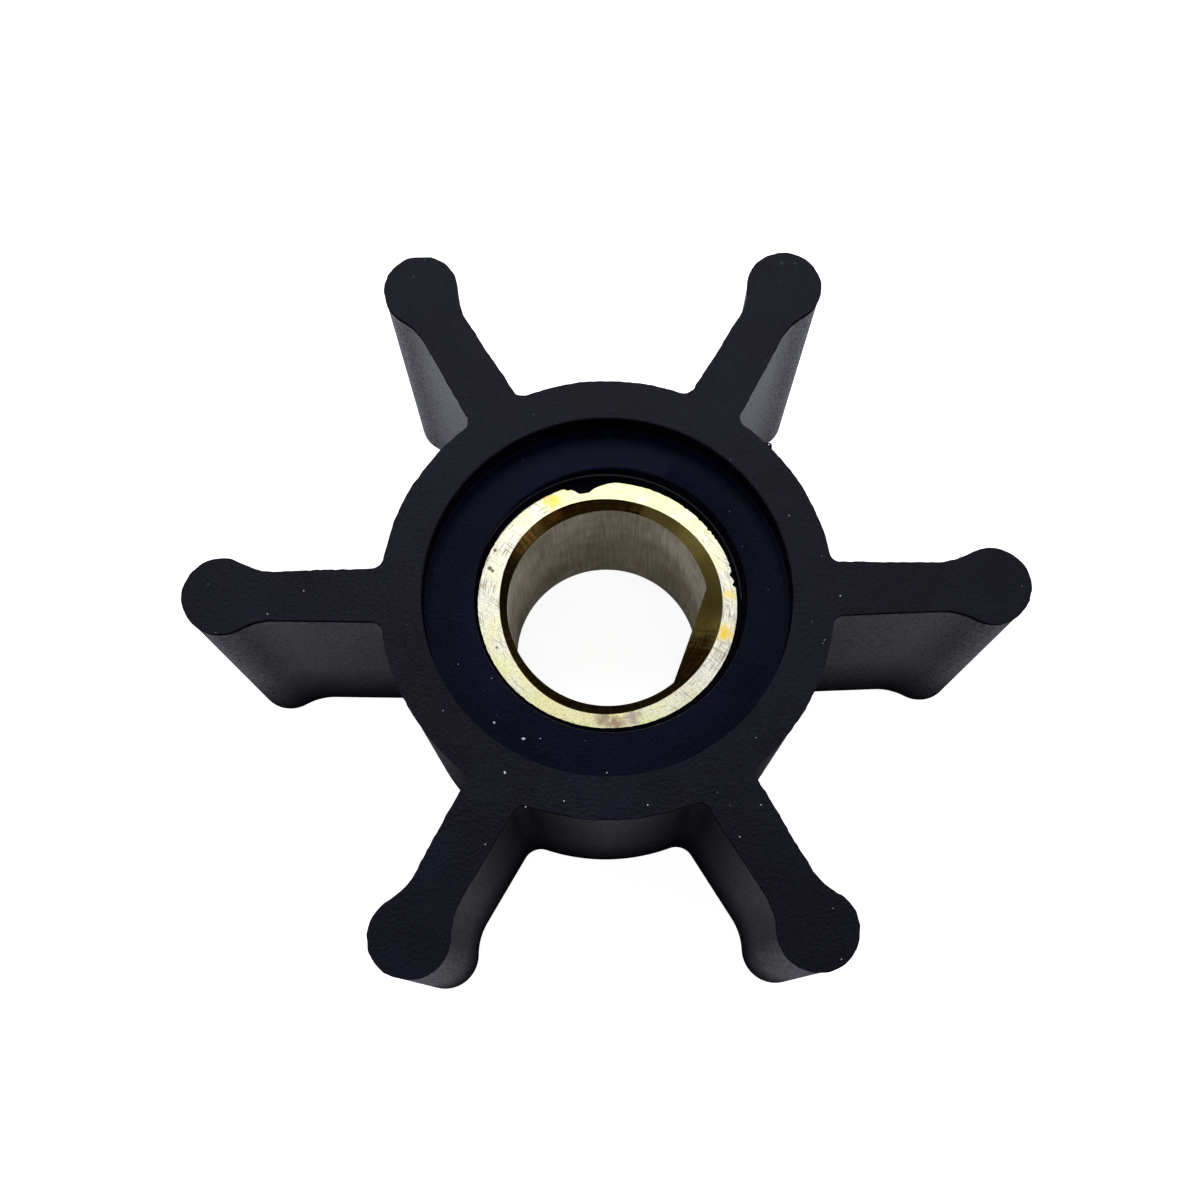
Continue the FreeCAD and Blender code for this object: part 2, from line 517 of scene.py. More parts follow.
def faced_brass():
    """Pale bright brass with the lathe's lines, scratches across them and a few stains."""
    material, tree, output = new_material("faced and scratched brass")
    place = add(tree, "ShaderNodeTexCoord").outputs["Object"]
    polar = round_the_shaft(tree, place)
    tool_lines = stretched_noise(tree, polar, tool_line, 4.0)
    across = add(tree, "ShaderNodeMapping", {"Vector": place, "Rotation": (0.0, 0.0, cross_direction)})
    cross_lines = stretched_noise(tree, across.outputs["Vector"], cross_line, 3.0)
    patches = stretched_noise(tree, place, [patch_size] * 3, 4.0)
    grain = stretched_noise(tree, place, [brass_grain] * 3, 2.0)

    angle = add(tree, "ShaderNodeSeparateXYZ", {"Vector": polar}).outputs["Y"]
    twice = add(tree, "ShaderNodeMath", {0: angle, 1: 2.0, 2: scuff_turn}, operation="MULTIPLY_ADD")
    wave = add(tree, "ShaderNodeMath", {0: twice.outputs[0]}, operation="COSINE")
    scuffed = add(tree, "ShaderNodeMath", {
        0: wave.outputs[0], 1: scuff_weight, 2: patches,
    }, operation="MULTIPLY_ADD").outputs[0]
    scored = add(tree, "ShaderNodeMath", {0: scuffed, 1: 0.5, 2: tool_lines}, operation="MULTIPLY_ADD")
    crossed = add(tree, "ShaderNodeMath", {0: scuffed, 1: 0.4, 2: cross_lines}, operation="MULTIPLY_ADD")
    tone = blended(tree, scuffed, 0.38, 0.66, linear("#ece8ac"), linear("#eceada"))
    tone = blended(tree, grain, 0.30, 0.54, linear("#d0c890"), tone)
    tone = blended(tree, scored.outputs[0], 0.86, 1.02, tone, linear("#8c7e64"))
    tone = blended(tree, crossed.outputs[0], 0.82, 0.98, tone, linear("#a09278"))
    tone = marked(tree, place, tone, insert_top, face_stains)

    under = add(tree, "ShaderNodeBump", {
        "Height": tool_lines, "Distance": line_depth * MM, "Strength": line_strength,
    })
    bump = add(tree, "ShaderNodeBump", {
        "Height": cross_lines, "Distance": line_depth * MM, "Strength": line_strength,
        "Normal": under.outputs["Normal"],
    })
    brass_surface(tree, output, tone, 1.0, 0.4, bump)
    return material


faced = faced_brass()

# %% [markdown]
# ### Countersunk brass
#
# The countersinks were cut last, with some chatter, which leaves short steps across fine rings. Nobody
# polished them, so they are tarnished a deep brown. On the right a gold is painted over the brown, a painted
# reflection of the lamps in the cut metal, and there is one warm stain under the blob of flash.

# %% Mix the countersunk brass
chatter_mark = (1.6 * MM, 0.035, 1.6 * MM)
cutter_ring = (0.06 * MM, 0.5, 0.06 * MM)
glint_side = 25.0
ring_depth = 0.01
ring_strength = 0.4
stain_height = insert_top - 0.3


def countersunk_brass():
    """Brown brass with rings and chatter, with a painted gold reflection on one side."""
    material, tree, output = new_material("countersunk and tarnished brass")
    place = add(tree, "ShaderNodeTexCoord").outputs["Object"]
    polar = round_the_shaft(tree, place)
    chatter = stretched_noise(tree, polar, chatter_mark, 3.0)
    rings = stretched_noise(tree, polar, cutter_ring, 2.0)
    weave = add(tree, "ShaderNodeMath", {0: chatter, 1: rings}, operation="ADD").outputs[0]

    angle = add(tree, "ShaderNodeSeparateXYZ", {"Vector": polar}).outputs["Y"]
    from_side = add(tree, "ShaderNodeMath", {
        0: angle, 1: math.radians(seam_direction - 180 - glint_side),
    }, operation="ADD")
    facing = add(tree, "ShaderNodeMath", {0: from_side.outputs[0]}, operation="COSINE").outputs[0]
    painted_glint = add(tree, "ShaderNodeMath", {0: weave, 1: 0.25, 2: facing}, operation="MULTIPLY_ADD")
    tone = blended(tree, weave, 0.85, 1.2, linear("#36260c"), linear("#5e4820"))
    # Painted reflection: towards one side the cut metal is coloured gold, as if it caught the lamps there.
    tone = blended(tree, painted_glint.outputs[0], 0.90, 1.04, tone, linear("#a4924e"))
    tone = marked(tree, place, tone, stain_height, [(118.5, 6.75, 0.5, "#8c5c20")])
    bump = add(tree, "ShaderNodeBump", {
        "Height": rings, "Distance": ring_depth * MM, "Strength": ring_strength,
    })
    brass_surface(tree, output, tone, 1.0, 0.22, bump)
    return material


countersunk = countersunk_brass()

# %% [markdown]
# ### Reamed brass
#
# The bore was reamed, which leaves fine lines along the shaft. Its skin has dulled to a greyish film that
# hides most of the metal, so it is only a little metallic and quite rough. It is cloudy as well.

# %% Mix the reamed brass
reamer_line = (0.10 * MM, 0.10 * MM, 3.0 * MM)
cloud_size = 2.5 * MM


def reamed_brass():
    """Dull greyish brass with fine lines along the shaft and soft clouds."""
    material, tree, output = new_material("reamed and dulled brass")
    place = add(tree, "ShaderNodeTexCoord").outputs["Object"]
    lines = stretched_noise(tree, place, reamer_line, 3.0)
    clouds = stretched_noise(tree, place, [cloud_size] * 3, 3.0)
    worn = add(tree, "ShaderNodeMath", {0: lines, 1: clouds}, operation="ADD").outputs[0]
    tone = blended(tree, worn, 0.8, 1.25, linear("#aaa28c"), linear("#e6dfcc"))
    bump = add(tree, "ShaderNodeBump", {
        "Height": lines, "Distance": line_depth * MM, "Strength": line_strength,
    })
    brass_surface(tree, output, tone, 0.2, 0.45, bump)
    return material


reamed = reamed_brass()

# %% [markdown]
# ## One vane's outline
#
# The body is an outline pulled up along the shaft, so the outline is drawn first, as half a vane. A curve
# object could hold it, but the spin operator turns a single vertex into a true arc with a chosen number
# of steps, and every arc of this outline has a known centre.

# %% Draw arcs and lines
def arc_to(bm, vertex, centre, end, steps):
    """Spins a vertex round a centre until it meets the end point, and returns the last vertex."""
    start_arm = vertex.co - centre
    end_arm = end - centre
    angle = math.atan2(start_arm.cross(end_arm).z, start_arm.dot(end_arm))
    made = bmesh.ops.spin(bm, geom=[vertex], cent=centre, axis=AXIS, angle=angle, steps=steps)
    return next(item for item in made["geom_last"] if isinstance(item, bmesh.types.BMVert))


def line_to(bm, vertex, end, steps):
    """Pulls a straight line out of a vertex in equal steps, and returns its last vertex."""
    stride = (end - vertex.co) / steps
    for _ in range(steps):
        made = bmesh.ops.extrude_vert_indiv(bm, verts=[vertex])
        made["verts"][0].co = vertex.co + stride
        vertex = made["verts"][0]
    return vertex


def meetings(start, along, radius):
    """How far along a line its first and its second point at this distance from the middle lie."""
    half_b = start.dot(along)
    reach = math.sqrt(half_b ** 2 - start.dot(start) + radius ** 2)
    return -half_b - reach, -half_b + reach


# %% Draw half a vane
hub_steps = 24
corner_steps = 8
flank_steps = 26
neck_steps = 10
bulb_steps = 24

taper = math.atan2(tip_half - root_half, bulb_centre.x - hub_radius)
along_flank = Vector((math.cos(taper), math.sin(taper), 0))
off_flank = Vector((-math.sin(taper), math.cos(taper), 0))
flank_end = bulb_centre + Vector((0, tip_half, 0))
print("each flank tapers by", round(-math.degrees(taper), 2), "degrees")


def half_outline(bm, root_radius, height):
    """The edge from the middle of a gap between vanes, along the hub and one side of a vane, to its tip."""
    offset = flank_end + off_flank * neck_radius - bulb_centre
    back_off = meetings(offset, along_flank, neck_radius + bulb_radius)[0]
    neck_middle = bulb_centre + offset + along_flank * back_off
    neck_start = flank_end + along_flank * back_off
    neck_end = bulb_centre + (neck_middle - bulb_centre).normalized() * bulb_radius
    corner = flank_end + off_flank * root_radius
    corner_middle = corner + along_flank * meetings(corner, along_flank, hub_radius + root_radius)[1]
    corner_end = corner_middle - off_flank * root_radius
    corner_start = corner_middle.normalized() * hub_radius
    gap_middle = Matrix.Rotation(sector / 2, 3, "Z") @ Vector((hub_radius, 0, 0))
    vertex = bm.verts.new(gap_middle)
    vertex = arc_to(bm, vertex, Vector(), corner_start, hub_steps)
    vertex = arc_to(bm, vertex, corner_middle, corner_end, corner_steps)
    vertex = line_to(bm, vertex, neck_start, flank_steps)
    vertex = arc_to(bm, vertex, neck_middle, neck_end, neck_steps)
    vertex = arc_to(bm, vertex, bulb_centre, Vector((tip_radius, 0, 0)), bulb_steps)
    bmesh.ops.translate(bm, vec=AXIS * height, verts=bm.verts)


def ring_outline(root_radius, height):
    """The outline at one height, as a mesh of edges: half a vane, mirrored and copied round the shaft."""
    bm = bmesh.new()
    half_outline(bm, root_radius, height)
    bmesh.ops.mirror(bm, geom=bm.verts[:] + bm.edges[:], axis="Y", merge_dist=merge_gap)
    turns = vane_count - 1
    bmesh.ops.spin(bm, geom=bm.verts[:] + bm.edges[:], cent=Vector(), axis=AXIS,
                   angle=sector * turns, steps=turns, use_duplicate=True)
    bmesh.ops.remove_doubles(bm, verts=bm.verts, dist=close_by)
    mesh = bpy.data.meshes.new("outline")
    bm.to_mesh(mesh)
    bm.free()
    return mesh


# %% [markdown]
# ## The rubber body's wall
#
# Two outlines, one for each end face, are bridged into the wall. The root corners are a little rounder at
# the lower face, and the bridge blends them. A boolean or an extrusion couldn't. Then bisect_plane cuts
# rings into the wall, most of them near its two ends, so that it can be shaped there.

# %% Bridge the wall
wall_cuts = [0.12, 0.6, 5.0, 11.0, 17.0, 20.5]
lip_height = 0.42
lip_gap = 0.08
last_cut = 0.05

body = bmesh.new()
body.from_mesh(ring_outline(root_radius_bottom, 0.0))
body.from_mesh(ring_outline(root_radius_top, width))
bmesh.ops.bridge_loops(body, edges=body.edges[:])
for cut in wall_cuts + [width - lip_height - lip_gap, width - lip_height, width - last_cut]:
    bmesh.ops.bisect_plane(body, geom=body.verts[:] + body.edges[:] + body.faces[:],
                           plane_co=AXIS * cut, plane_no=AXIS)
bmesh.ops.recalc_face_normals(body, faces=body.faces)
body.normal_update()
outside = body.faces[0].normal.dot(body.faces[0].calc_center_median())
print("wall:", len(body.faces), "faces, points outwards:", outside > 0)

# %% [markdown]
# The mould left a thin ragged lip of flash along the upper edge. The wall is set in by a hair all round,
# and the rings above the cut are moved in and out by noise, so the lip stands proud of the wall and its
# lower edge wavers up and down. Rubber is soft, so the vanes also lean by a fraction of a degree each.

# %% Raise the lip of flash and lean the vanes
wall_inset = 0.05
lip_push = 0.065
lip_waver = 0.17
fine_tear = 0.40
coarse_tear = 2.2
top_drop = 0.012
vane_lean = (0.0, -0.15, -0.3, -0.2, 0.15, 0.0)


def ragged(point, size):
    """Noise of about -1 to 1 whose bumps are this many millimetres across."""
    return noise.noise(point / size) * 1.6


for vertex in body.verts:
    outwards = Vector((vertex.normal.x, vertex.normal.y, 0)).normalized()
    flat_point = Vector((vertex.co.x, vertex.co.y, 0))
    rough = ragged(flat_point, fine_tear) * 0.5 + ragged(flat_point + AXIS * 9, coarse_tear) * 0.5
    on_lip = vertex.co.z > width - lip_height - close_by
    vertex.co += outwards * (lip_push * rough if on_lip else -wall_inset)
    if vertex.co.z > width - close_by:
        vertex.co.z -= top_drop
    elif width - lip_height - lip_gap - close_by < vertex.co.z < width - 2 * last_cut:
        vertex.co.z += lip_waver * max(-1.0, min(1.0, rough))
    reach = (math.hypot(vertex.co.x, vertex.co.y) - hub_radius) / (tip_radius - hub_radius)
    vane = round(math.atan2(vertex.co.y, vertex.co.x) / sector) % vane_count
    lean = math.radians(vane_lean[vane]) * min(1.0, max(0.0, reach))
    leaning = Matrix.Rotation(lean, 3, "Z") @ vertex.co
    vertex.co.x = min(body_high.x, max(body_low.x, leaning.x))
    vertex.co.y = min(body_high.y, max(body_low.y, leaning.y))
print("the vanes lean by up to", max(abs(lean) for lean in vane_lean), "degrees")

# %% [markdown]
# ## The rubber body's inside
#
# The inside is a turned shape, so its section is drawn once and spun round the shaft: the upper recess,
# the mouth with its fine bead of rubber, the hole that holds the brass, and the lower recess. The end
# faces are flat sheets between the outer and the inner edge, and triangle_fill lays them in one step.

# %% Spin the inside and close the end faces
turned_steps = 180
floor_top = width - recess_depth
mouth_radius = insert_radius + mouth_flare
bead_radius = 8.24
bead_height = insert_top + 0.42
bead_size = 0.05
section = [
    (recess_radius, width - top_drop), (recess_radius, floor_top), (mouth_radius, floor_top),
    (bead_radius + bead_size, bead_height), (bead_radius, bead_height + bead_size),
    (bead_radius - bead_size, bead_height), (insert_radius, insert_top - mouth_start),
    (insert_radius, insert_bottom + mouth_start), (mouth_radius, recess_depth),
    (recess_radius, recess_depth), (recess_radius, 0.0),
]


def spun(bm, points, steps):
    """Draws a chain of (radius, height) points and spins it once round the shaft, closed."""
    chain = [bm.verts.new((radius, 0, height)) for radius, height in points]
    edges = [bm.edges.new(pair) for pair in zip(chain, chain[1:])]
    bmesh.ops.spin(bm, geom=chain + edges, cent=Vector(), axis=AXIS, angle=math.tau, steps=steps,
                   use_merge=True)


spun(body, section, turned_steps)
for end_height in (0.0, width - top_drop):
    rim = [edge for edge in body.edges if edge.is_boundary
           and all(abs(vertex.co.z - end_height) < close_by for vertex in edge.verts)]
    bmesh.ops.triangle_fill(body, use_beauty=True, use_dissolve=False, edges=rim)
bmesh.ops.remove_doubles(body, verts=body.verts, dist=merge_gap)
bmesh.ops.recalc_face_normals(body, faces=body.faces)
open_edges = [edge for edge in body.edges if not edge.is_manifold]
print("body closed:", not open_edges, "volume", round(body.calc_volume()), "mm3")

# %% [markdown]
# The brass sat a little to one side in the mould, so the upper mouth isn't centred on it. The mouth's
# points are moved outwards or inwards by the cosine of their direction, which is the same as a small step
# to one side. The bead is pushed outwards on the opposite side.

# %% Draw the upper mouth to one side
mouth_shift = 0.28
mouth_side = math.radians(34)
bead_shift = 0.06
for vertex in body.verts:
    radius = math.hypot(vertex.co.x, vertex.co.y)
    outwards = Vector((vertex.co.x, vertex.co.y, 0)).normalized()
    towards_side = math.cos(math.atan2(vertex.co.y, vertex.co.x) - mouth_side)
    if abs(radius - mouth_radius) < close_by and vertex.co.z > width / 2:
        vertex.co += outwards * mouth_shift * towards_side
    elif abs(vertex.co.z - bead_height) < 2 * bead_size:
        vertex.co += outwards * bead_shift * (1 - towards_side)
print("the mouth is wider by", mouth_shift, "mm on one side")

# %% [markdown]
# No moulded edge is quite sharp. The circles of the section get a small bevel, apart from where the
# rubber meets the brass's side. Then each face of the body is given the finish of its place.

# %% Round the turned edges and share out the finishes
edge_round = 0.08
sharp_turn = math.radians(20)
mouth_slack = 0.4
rim_slack = 0.1
mouth_margin = 0.12
flat_enough = 0.3
inside_margin = 1.0
rubber_finishes = [moulded, ground, pressed, torn_and_shade_black]


def is_turned_edge(edge):
    """Is this edge part of a circle of the section, apart from where the rubber meets the brass's side?"""
    first, second = (vertex.co for vertex in edge.verts)
    if abs(first.z - second.z) > close_by:
        return False
    middle = (first + second) / 2
    radius = math.hypot(middle.x, middle.y)
    near_end = min(middle.z, width - middle.z) < recess_depth + close_by
    in_reach = mouth_radius - mouth_slack < radius < recess_radius + rim_slack
    return near_end and in_reach and edge.calc_face_angle(0.0) > sharp_turn


def finish_of(face):
    """Ground on the end faces, pressed on the recess floors, torn on the lip and inside, moulded elsewhere.
    On the lip and inside, the torn black is partly painted shade.

    The far half of the fine bead has kept the mould's skin too.
    """
    centre = face.calc_center_median()
    radius = math.hypot(centre.x, centre.y)
    in_mouth = recess_depth + mouth_margin < centre.z < floor_top - mouth_margin and radius < recess_radius
    if abs(face.normal.z) > flat_enough and not in_mouth:
        return ground if min(centre.z, width - centre.z) < recess_depth / 2 else pressed
    if bead_height < centre.z < bead_height + bead_size and centre.y > 0:
        return moulded
    # Partly painted shade: the lip and the mouth round the brass get the torn black, standing in for the
    # shadow under the lip and in the gap.
    if centre.z > width - lip_height - lip_gap or radius < hub_radius - inside_margin:
        return torn_and_shade_black
    return moulded


bmesh.ops.bevel(body, geom=[edge for edge in body.edges if is_turned_edge(edge)], offset=edge_round,
                offset_type="OFFSET", segments=2, profile=0.5, affect="EDGES", material=-1)
body.normal_update()
for face in body.faces:
    face.material_index = rubber_finishes.index(finish_of(face))
rubber_piece = finished(body, "rubber_moulding", rubber_finishes)
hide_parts("rubber_body")

# %% [markdown]
# ## The brass insert
#
# A sleeve, spun from its section. The bore is not quite round: one flat drives the shaft. Cutting it with
# a boolean would leave a mesh that is hard to finish, so the ring's points on that side are drawn in to
# the flat instead, and where the countersink's cone meets the flat it runs deeper, as a real drill leaves
# it. The upper countersink was deburred by hand, so its edge wanders from a true circle.

# %% Spin the insert and form its flat
insert_steps = 360
countersink_radius = bore_radius + countersink
bore_shift = 0.09
edge_inset = 0.03
edge_shift = 0.17
edge_lobes = 0.10
lobe_turn = 0.48
brass_finishes = [faced, countersunk, reamed]


def countersunk_edge(angle):
    """The radius of the upper countersink's edge, pushed to one side and with three lobes."""
    wander = edge_shift * math.cos(angle) + edge_lobes * math.cos(3 * angle - lobe_turn)
    return countersink_radius - edge_inset + wander


insert = bmesh.new()
insert_section = [
    (countersink_radius, insert_top), (bore_radius, insert_top - countersink),
    (bore_radius, insert_bottom + countersink), (countersink_radius, insert_bottom),
    (insert_radius, insert_bottom), (insert_radius, insert_top), (countersink_radius, insert_top),
]
spun(insert, insert_section, insert_steps)
bmesh.ops.remove_doubles(insert, verts=insert.verts, dist=merge_gap)
for vertex in insert.verts:
    radius = math.hypot(vertex.co.x, vertex.co.y)
    angle = math.atan2(vertex.co.y, vertex.co.x)
    upper = vertex.co.z > (insert_top + insert_bottom) / 2
    edge_radius = countersunk_edge(angle) if upper else countersink_radius
    if radius < bore_radius + close_by:
        from_flat = math.cos(angle - flat_direction)
        reach = bore_radius + bore_shift * math.cos(angle)
        if from_flat > 0:
            reach = min(reach, flat_distance / from_flat)
        depth = edge_radius - reach
        vertex.co.x = reach * math.cos(angle)
        vertex.co.y = reach * math.sin(angle)
        vertex.co.z = insert_top - depth if upper else insert_bottom + depth
    elif radius < countersink_radius + close_by:
        vertex.co.x = edge_radius * math.cos(angle)
        vertex.co.y = edge_radius * math.sin(angle)
bmesh.ops.recalc_face_normals(insert, faces=insert.faces)
print("insert volume", round(insert.calc_volume()), "mm3")

# %% Give the insert its finishes
level_enough = 0.95
inside_reach = 0.1


def brass_of(face):
    """Reamed in the bore, countersunk on the cones, and faced everywhere else."""
    centre = face.calc_center_median()
    inside = math.hypot(centre.x, centre.y) < countersink_radius + inside_reach
    if inside and abs(face.normal.z) < level_enough:
        return countersunk if abs(face.normal.z) > flat_enough else reamed
    return faced


insert.normal_update()
for face in insert.faces:
    face.material_index = brass_finishes.index(brass_of(face))
insert_piece = finished(insert, "brass_sleeve", brass_finishes)
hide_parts("brass_insert")

# %% [markdown]
# ## The film of flash on the brass
#
# When the rubber was pressed round the brass, a little crept over its end face and was left there as a
# thin ragged film, with one broad blob at the far side and some torn teeth on the right. A ring is spun,
# and then its width is stretched in each direction to where the film ends. Directions are counted as the
# camera sees them, which is 1.4 degrees round from the part's own.

# %% Say where the film ends
film_outer = 8.14
film_inner = 7.9
film_radius = 7.91
film_shift = 0.10
film_shift_turn = -1.0
film_oval = 0.08
film_oval_turn = 0.6
film_tear = 0.02
small_tear = 0.30
large_tear = 0.9
view_turn = 1.4
# Each tongue of the film: its first and last direction, how soft its ends are, its length, how torn it is.
tongues = [
    (85.5, 107.5, (15.0, 4.0), 0.42, 0.03),
    (94.5, 110.4, (6.0, 1.6), 0.17, 0.04),
    (7.5, 18.0, (2.0, 3.0), 0.10, 0.16),
]
teeth_start = 12.0
teeth_end = 64.0
teeth_soft = (6.0, 12.0)
teeth_length = 0.34
teeth_gap = 0.1


def window(degrees, start, end, soft):
    """1 between two directions and 0 outside them, with soft ends of some degrees."""
    rise = min(1.0, max(0.0, (degrees - start) / soft[0]))
    fall = min(1.0, max(0.0, (end - degrees) / soft[1]))
    return min(rise * rise * (3 - 2 * rise), fall * fall * (3 - 2 * fall))


def film_edge(angle):
    """How far in the film reaches in this direction, in millimetres from the axis."""
    degrees = math.degrees(angle) + view_turn
    point = Vector((math.cos(angle), math.sin(angle), 0)) * film_inner
    tear = ragged(point, small_tear) * 0.65 + ragged(point + AXIS * 7, large_tear) * 0.35
    edge = film_radius + film_shift * math.cos(angle + film_shift_turn)
    edge += film_oval * math.cos(2 * angle + film_oval_turn) + film_tear * tear
    for start, end, soft, length, tearing in tongues:
        edge -= window(degrees, start, end, soft) * (length + tearing * tear)
    edge -= window(degrees, teeth_start, teeth_end, teeth_soft) * teeth_length * max(0.0, tear - teeth_gap)
    return edge


print("the blob reaches in to", round(film_edge(math.radians(103)), 2), "mm from the axis")

# %% Spin the film and tear its edge
film_steps = 1080
film_bottom = insert_top - 0.02
film_lip = insert_top + 0.03
film_top = insert_top + 0.07
film_slope = 0.04

film = bmesh.new()
film_section = [
    (film_outer, film_bottom), (film_inner, film_bottom), (film_inner, film_lip),
    (film_inner + film_slope, film_top), (film_outer, film_top), (film_outer, film_bottom),
]
spun(film, film_section, film_steps)
bmesh.ops.remove_doubles(film, verts=film.verts, dist=merge_gap)
for vertex in film.verts:
    angle = math.atan2(vertex.co.y, vertex.co.x)
    radius = math.hypot(vertex.co.x, vertex.co.y)
    stretch = (film_outer - film_edge(angle)) / (film_outer - film_inner)
    radius = film_outer - (film_outer - radius) * stretch
    vertex.co.x = radius * math.cos(angle)
    vertex.co.y = radius * math.sin(angle)
bmesh.ops.recalc_face_normals(film, faces=film.faces)
finished(film, "rubber_flash_film", [torn_and_shade_black])

# %% [markdown]
# ## Dust and lint
#
# Rubber holds on to dust. The finest is in the material, and the larger grains are laid here one by one,
# each a small ball pressed flat. The longest are bits of lint. Particles could scatter them, but a few
# listed places look less even, and they stay where they are.
# The last grain is no dust: a pale speck laid on the nib, it is a painted highlight.

# %% Lay the grains
flatness = 0.2
turn_step = 2.4
# Each grain: its place, its half width, and how much longer it is than wide.
grains_and_nib_highlight = [
    (-5.1, -8.5, floor_top, 0.075, 1.5), (-6.85, -7.5, floor_top, 0.055, 1.4),
    (-0.2, -10.6, floor_top, 0.035, 1.2), (-4.1, -8.5, floor_top, 0.03, 1.2),
    (-9.0, -3.9, floor_top, 0.03, 1.0), (-7.0, -4.8, floor_top, 0.025, 1.0),
    (-6.1, -10.8, width, 0.056, 1.6), (13.9, -0.5, width, 0.038, 1.0), (-20.2, -1.1, width, 0.035, 1.0),
    (-18.1, 0.3, width, 0.032, 1.0), (-2.7, -12.5, width, 0.035, 1.2), (2.1, -12.8, width, 0.035, 1.3),
    (7.3, -14.7, width, 0.032, 1.2), (-7.2, -14.9, width, 0.032, 1.0), (8.6, -12.9, width, 0.028, 1.4),
    (-4.9, -12.8, width, 0.035, 1.2), (11.1, 4.6, width, 0.028, 1.0), (-9.7, -7.1, width, 0.028, 1.0),
    (12.7, -21.6, width, 0.028, 1.0), (12.4, -18.8, width, 0.025, 1.0), (12.8, -3.2, width, 0.014, 3.5),
    # The last grain lies on the nib and paints its highlight.
    (12.7, -3.4, width, 0.013, 2.5), (8.5, -9.0, width, 0.021, 1.0), (10.1, 9.26, width - 0.14, 0.05, 1.0),
]


def sunk(level, size):
    """How deep a grain's middle lies. Those on the end face stay under it, and the others stand up."""
    return size * flatness if level > floor_top else 0.0


lint_and_highlight, lint_tree, lint_output = new_material("pale dust and lint")
pale_diffuse = add(lint_tree, "ShaderNodeBsdfDiffuse", {"Color": linear("#d8dadf")})
lint_tree.links.new(pale_diffuse.outputs[0], lint_output.inputs["Surface"])

dust = bmesh.new()
for number, (x, y, level, size, stretch) in enumerate(grains_and_nib_highlight):
    laid = Matrix.Translation((x, y, level - sunk(level, size)))
    turned = Matrix.Rotation(number * turn_step, 4, "Z")
    pressed_flat = Matrix.Diagonal((stretch, 1.0, flatness, 1.0))
    bmesh.ops.create_icosphere(dust, subdivisions=2, radius=size, matrix=laid @ turned @ pressed_flat)
finished(dust, "dust_grains", [lint_and_highlight], smooth_below=round_angle)

# %% [markdown]
# ## A nib
#
# On the hub, close to the root of one vane, the mould left a nib of rubber. It is a ball whose points are
# moved along their normals by noise.
# Its highlight is painted, as a pale grain laid on it with the dust.

# %% Make the nib
nib_radius = 0.24
nib_place = (10.10, 9.24, width - 0.4)
nib_roughness = 0.04
nib_grain = 0.15

nib = bmesh.new()
bmesh.ops.create_icosphere(nib, subdivisions=3, radius=nib_radius, matrix=Matrix.Translation(nib_place))
for vertex in nib.verts:
    vertex.co += vertex.normal * nib_roughness * ragged(vertex.co, nib_grain)
finished(nib, "rubber_nib", [torn_and_shade_black], smooth_below=round_angle)

# %% [markdown]
# ## The table
#
# The part lies on a white table. Light Path turns the table white for the camera, and a little of that
# glow goes to mirrored rays too. Their share is small, so the rubber's walls still mirror a real table
# with a real shadow on it. More light could turn the table white as well, but it would turn the rubber
# grey.

# %% Lay the table
table_half = 1500.0
table_gap = 0.02
table_glow = 0.92
mirrored_glow = 0.04

floor_mesh = bpy.data.meshes.new("floor")
table = bmesh.new()
bmesh.ops.create_grid(table, x_segments=1, y_segments=1, size=table_half * MM)
bmesh.ops.translate(table, vec=AXIS * -table_gap * MM, verts=table.verts)
table.to_mesh(floor_mesh)
table.free()
floor = bpy.data.objects.new("floor", floor_mesh)
bpy.context.collection.objects.link(floor)


def table_top():
    """White paint that also glows: strongly for the camera, and weakly for mirrored rays."""
    material, tree, output = new_material("white table top")
    path = add(tree, "ShaderNodeLightPath")
    paint = add(tree, "ShaderNodeBsdfDiffuse", {"Color": linear("#f0f0f2")})
    mirror = add(tree, "ShaderNodeMath", {
        0: path.outputs["Is Glossy Ray"], 1: path.outputs["Is Transmission Ray"],
    }, operation="MAXIMUM")
    mirrored = add(tree, "ShaderNodeMath", {0: mirror.outputs[0], 1: mirrored_glow}, operation="MULTIPLY")
    strength = add(tree, "ShaderNodeMath", {
        0: path.outputs["Is Camera Ray"], 1: table_glow, 2: mirrored.outputs[0],
    }, operation="MULTIPLY_ADD")
    glow = add(tree, "ShaderNodeEmission", {"Color": (1, 1, 1, 1), "Strength": strength.outputs[0]})
    both = add(tree, "ShaderNodeAddShader", {0: paint.outputs[0], 1: glow.outputs[0]})
    tree.links.new(both.outputs[0], output.inputs["Surface"])
    return material


floor_mesh.materials.append(table_top())
print("the table is", round(2 * table_half * MM, 1), "m wide")

# %% [markdown]
# ## The room and its lamps
#
# The room is darker overhead than near the table, so the ground rubber stays black. One soft lamp hangs
# above and a little behind, where the end face of the brass mirrors it into the camera. Two stand high at
# the sides and two low behind, like windows, and their light on the table is what the satin walls mirror.
# Two weak glints stand low at the front corners, and a weak lamp in front reaches into the bore. Every
# lamp is a square of one size at one distance, so only its direction and how bright it looks are left to
# choose.

# %% Light the room
sky_high = 0.02
sky_low = 0.22
sky_horizon = 0.15

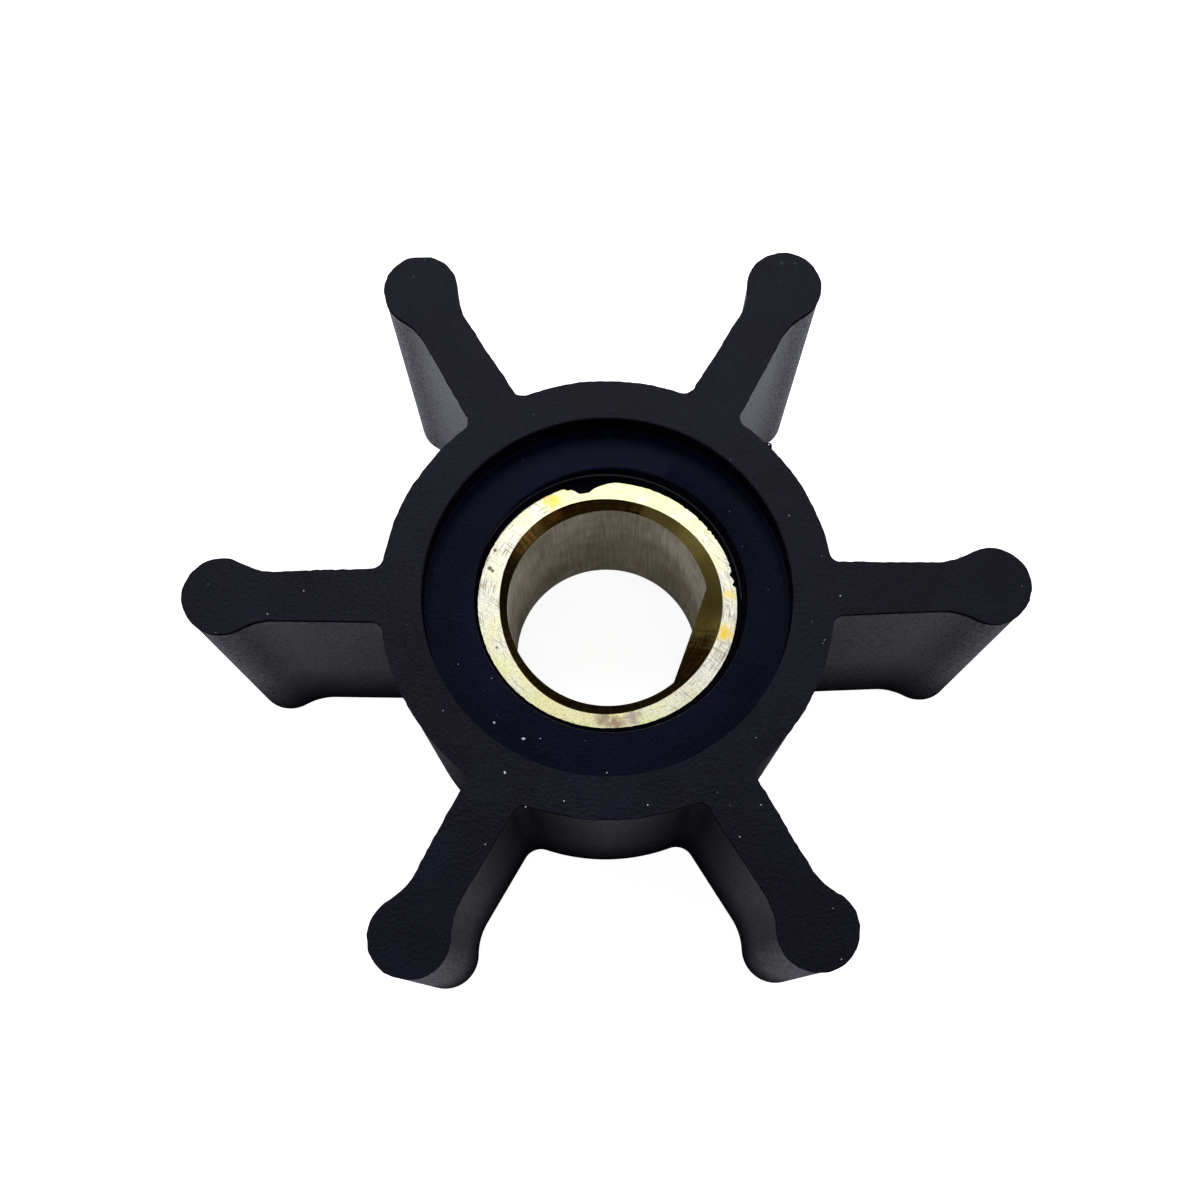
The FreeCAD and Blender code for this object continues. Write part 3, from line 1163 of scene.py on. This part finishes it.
world = bpy.data.worlds.new("studio")
world.use_nodes = True
sky_tree = world.node_tree
sky_tree.nodes.clear()
seen_by = add(sky_tree, "ShaderNodeLightPath")
looking = add(sky_tree, "ShaderNodeTexCoord").outputs["Generated"]
direction = add(sky_tree, "ShaderNodeSeparateXYZ", {"Vector": looking})
brightness = add(sky_tree, "ShaderNodeMapRange", {
    "Value": direction.outputs["Z"], "From Min": sky_horizon, "From Max": 1.0, "To Min": sky_low,
    "To Max": sky_high,
})
sky = add(sky_tree, "ShaderNodeBackground", {"Color": linear("#f4f6ff"), "Strength": brightness.outputs[0]})
backdrop = add(sky_tree, "ShaderNodeBackground", {"Color": (1, 1, 1, 1), "Strength": 1.0})
room = add(sky_tree, "ShaderNodeMixShader", {
    0: seen_by.outputs["Is Camera Ray"], 1: sky.outputs[0], 2: backdrop.outputs[0],
})
add(sky_tree, "ShaderNodeOutputWorld", {"Surface": room.outputs[0]})
bpy.context.scene.world = world
print("the room:", len(sky_tree.nodes), "nodes")

# %% Hang the lamps
lamp_colour = "#f0f3ff"
lamp_distance = 700
lamp_side = 300
# Each lamp: its direction from the part, and how bright its face looks.
lamps = {
    "lamp above": ((0.0, 0.47, 0.88), 5.5),
    "left side": ((-0.78, 0.05, 0.62), 4.5),
    "right side": ((0.78, 0.05, 0.62), 3.8),
    "left window": ((-0.70, 0.60, 0.35), 4.6),
    "right window": ((0.70, 0.60, 0.35), 4.2),
    "left glint": ((-0.87, -0.46, 0.20), 0.25),
    "right glint": ((0.87, -0.46, 0.20), 1.7),
    "front": ((0.0, -0.65, 0.76), 1.4),
}


def softbox(name, direction, radiance):
    """A square lamp facing the part. Its power is what gives its face this radiance."""
    data = bpy.data.lights.new(name, "AREA")
    data.shape = "SQUARE"
    data.size = lamp_side * MM
    data.energy = radiance * math.pi * (lamp_side * MM) ** 2
    data.color = linear(lamp_colour)[:3]
    lamp = bpy.data.objects.new(name, data)
    towards = Vector(direction).normalized()
    facing = towards.to_track_quat("Z", "Y").to_matrix().to_4x4()
    lamp.matrix_world = Matrix.Translation(towards * lamp_distance * MM) @ facing
    bpy.context.collection.objects.link(lamp)
    return data.energy


powers = [softbox(name, towards, radiance) for name, (towards, radiance) in lamps.items()]
bpy.context.scene.view_settings.view_transform = "Standard"
print(len(powers), "lamps of", round(sum(powers), 1), "W together")
